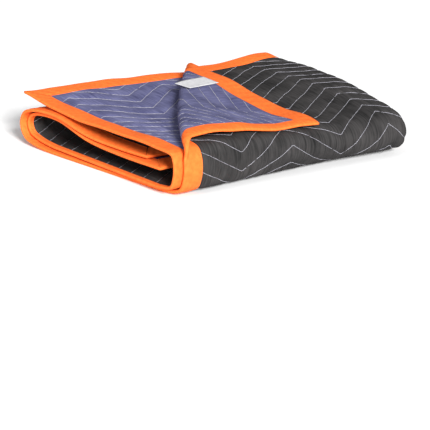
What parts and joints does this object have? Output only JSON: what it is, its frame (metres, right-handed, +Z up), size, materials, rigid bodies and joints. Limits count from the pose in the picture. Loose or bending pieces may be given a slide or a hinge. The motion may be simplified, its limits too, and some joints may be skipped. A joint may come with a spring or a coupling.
{
  "type": "folded moving pad",
  "caption": "Quilted two-tone moving pad with a bound edge, folded in half and then in thirds, with the top corner turned back, for padding furniture.",
  "frame": {"origin": "middle of the folded pad's footprint, on the surface it lies on", "axes": "+X towards the round closed end of the doubled pad, -Y towards the front fold, +Z up"},
  "size_m": [0.727, 0.6288, 0.1576],
  "materials": {
    "black_cloth": "matt black non-woven cloth with light grey zigzag quilting",
    "blue_cloth": "matt blue-violet non-woven cloth with pale zigzag quilting",
    "orange_tape": "matt bright orange woven binding tape",
    "white_label": "smooth white woven label, left blank"
  },
  "bodies": {
    "root": {"black_face_panel": "black_cloth", "blue_face_panel": "blue_cloth", "binding_upper_side": "orange_tape", "binding_under_side": "orange_tape", "binding_rear_edge": "orange_tape", "binding_inner_end": "orange_tape", "blank_label": "white_label"}
  },
  "joints": []
}
